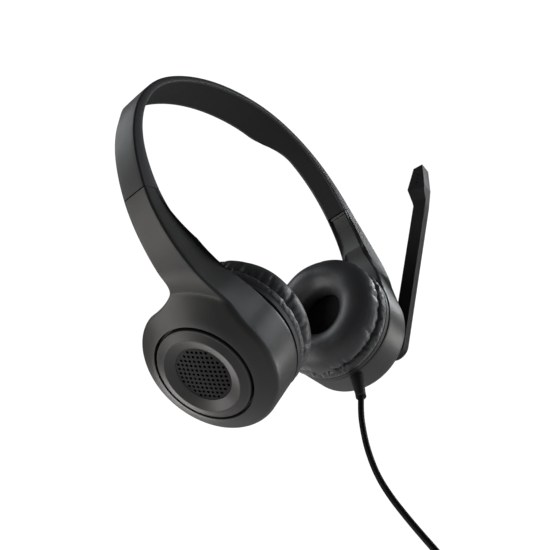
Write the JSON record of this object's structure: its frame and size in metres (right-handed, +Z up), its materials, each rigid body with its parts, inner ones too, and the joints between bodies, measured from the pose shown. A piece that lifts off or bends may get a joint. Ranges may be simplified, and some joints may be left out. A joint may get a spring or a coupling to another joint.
{
  "type": "office headset",
  "caption": "Wired on-ear stereo headset with a thin curved headband, round cups on arms that slide for size, ring cushions and a boom microphone that swings from the left cup.",
  "frame": {"origin": "midway between the two ear cushions' faces, on the line through their centres, where the middle of the wearer's head is", "axes": "+X to the wearer's left, -Y to the wearer's front, +Z up over the crown"},
  "size_m": [0.214, 0.0934, 0.3213],
  "materials": {
    "shell_plastic": "satin charcoal moulding",
    "band_plastic": "satin charcoal moulding",
    "inner_plastic": "fine texture black moulding",
    "grille_plastic": "black perforated grille",
    "leatherette": "soft black leatherette",
    "foam": "open cell foam",
    "cloth": "thin black acoustic cloth",
    "spring_steel": "rolled spring steel",
    "screw_steel": "zinc plated screw",
    "magnet": "plated magnet and yoke",
    "film": "thin polymer film",
    "board": "green circuit board",
    "boom_plastic": "satin black moulding",
    "capsule_metal": "drawn can",
    "boot_rubber": "soft black rubber",
    "cord_rubber": "smooth black jacket",
    "lead_jacket": "thin insulated leads",
    "tie_fabric": "hook and loop strap",
    "plug_plastic": "black moulded plug",
    "plug_metal": "gold plated contacts",
    "plug_insulator": "black insulating rings"
  },
  "bodies": {
    "headband": {"headband_shell": "band_plastic", "headband_liner": "band_plastic", "spring_strip": "spring_steel", "band_lead": "lead_jacket", "guide_screws": "screw_steel", "left_slider_guide": "inner_plastic", "right_slider_guide": "inner_plastic", "detent_springs": "spring_steel"},
    "left_arm": {"left_arm_shell": "shell_plastic", "left_arm_cover": "inner_plastic", "left_slider_strip": "spring_steel", "left_strip_anchor": "inner_plastic", "left_arm_screws": "screw_steel", "left_tilt_pins": "screw_steel", "boom_washer": "boot_rubber", "strain_relief": "cord_rubber", "cord": "cord_rubber", "cord_coil": "cord_rubber", "coil_tie": "tie_fabric", "plug_body": "plug_plastic", "plug_contacts": "plug_metal", "plug_insulator": "plug_insulator"},
    "left_ear": {"left_back_cup": "inner_plastic", "left_baffle_plate": "inner_plastic", "left_driver_frame": "inner_plastic", "left_driver_magnet": "magnet", "left_diaphragm": "film", "left_ear_cloth": "cloth", "left_cushion_ring": "inner_plastic", "left_ear_screws": "screw_steel", "left_cushion_foam": "foam", "left_cushion_cover": "leatherette", "junction_board": "board"},
    "right_arm": {"right_arm_shell": "shell_plastic", "right_arm_cover": "inner_plastic", "right_slider_strip": "spring_steel", "right_strip_anchor": "inner_plastic", "right_arm_screws": "screw_steel", "right_tilt_pins": "screw_steel", "right_face_disc": "shell_plastic", "right_grille": "grille_plastic", "right_dust_cloth": "cloth"},
    "right_ear": {"right_back_cup": "inner_plastic", "right_baffle_plate": "inner_plastic", "right_driver_frame": "inner_plastic", "right_driver_magnet": "magnet", "right_diaphragm": "film", "right_ear_cloth": "cloth", "right_cushion_ring": "inner_plastic", "right_ear_screws": "screw_steel", "right_cushion_foam": "foam", "right_cushion_cover": "leatherette"},
    "boom": {"boom_disc": "shell_plastic", "boom_retainer": "inner_plastic", "boom_screws": "screw_steel", "boom_inner_half": "boom_plastic", "boom_outer_half": "boom_plastic", "mic_capsule": "capsule_metal", "mic_boot": "boot_rubber", "mic_lead": "lead_jacket"}
  },
  "joints": [
    {"name": "left_size_slide", "type": "hinge", "parent": "headband", "child": "left_arm", "pos_m": [-0.03188, 0, 0.03461], "axis": [0, 1, 0], "range_deg": [0, 10]},
    {"name": "right_size_slide", "type": "hinge", "parent": "headband", "child": "right_arm", "pos_m": [0.03188, 0, 0.03461], "axis": [0, -1, 0], "range_deg": [0, 10]},
    {"name": "left_cup_tilt", "type": "hinge", "parent": "left_arm", "child": "left_ear", "pos_m": [0.05401, 0.00408, -0.01466], "axis": [-0.1139, 0.9917, 0.0601], "range_deg": [0, 4.4]},
    {"name": "right_cup_tilt", "type": "hinge", "parent": "right_arm", "child": "right_ear", "pos_m": [-0.05401, 0.00408, -0.01466], "axis": [-0.1139, -0.9917, -0.0601], "range_deg": [0, 4.4]},
    {"name": "boom_swing", "type": "hinge", "parent": "left_arm", "child": "boom", "pos_m": [0.06453, 0.00563, -0.02021], "axis": [0.8772, 0.1288, -0.4625], "range_deg": [0, 130]}
  ]
}
